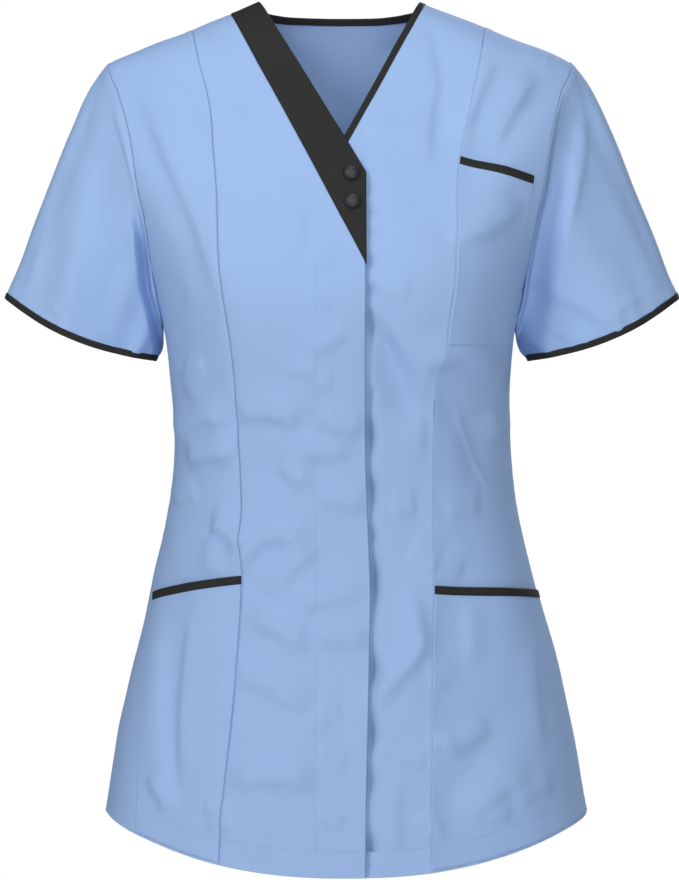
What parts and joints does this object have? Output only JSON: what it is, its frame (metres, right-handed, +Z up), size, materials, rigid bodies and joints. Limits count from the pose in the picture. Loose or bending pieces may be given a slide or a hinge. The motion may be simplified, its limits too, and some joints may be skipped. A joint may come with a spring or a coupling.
{
  "type": "scrub top",
  "caption": "V-neck medical tunic with a wrapped front, dark contrast neckline, short sleeves, chest pocket and hip pockets, hollow as worn.",
  "frame": {"origin": "midway between the neckline's two shoulder points, where the garment hangs from the wearer's shoulders beside the neck", "axes": "+Z up towards the neck, front of the garment faces -Y, +X towards the wearer's left"},
  "size_m": [0.559, 0.2815, 0.7089],
  "materials": {
    "main_cloth": "light blue plain-weave poplin, matt with a slight sheen",
    "contrast_cloth": "charcoal plain-weave poplin, matt",
    "buttons": "black, satin, slightly domed"
  },
  "bodies": {
    "root": {"front_right_centre": "main_cloth", "front_right_side": "main_cloth", "front_left_centre": "main_cloth", "front_left_side": "main_cloth", "back": "main_cloth", "sleeve_right": "main_cloth", "sleeve_left": "main_cloth", "sleeve_binding_right": "contrast_cloth", "sleeve_binding_left": "contrast_cloth", "neck_binding": "contrast_cloth", "contrast_panel": "contrast_cloth", "button_upper": "buttons", "button_lower": "buttons", "chest_pocket": "main_cloth", "chest_pocket_trim": "contrast_cloth", "hip_pocket_right": "main_cloth", "hip_pocket_left": "main_cloth", "hip_pocket_trim_right": "contrast_cloth", "hip_pocket_trim_left": "contrast_cloth"}
  },
  "joints": []
}
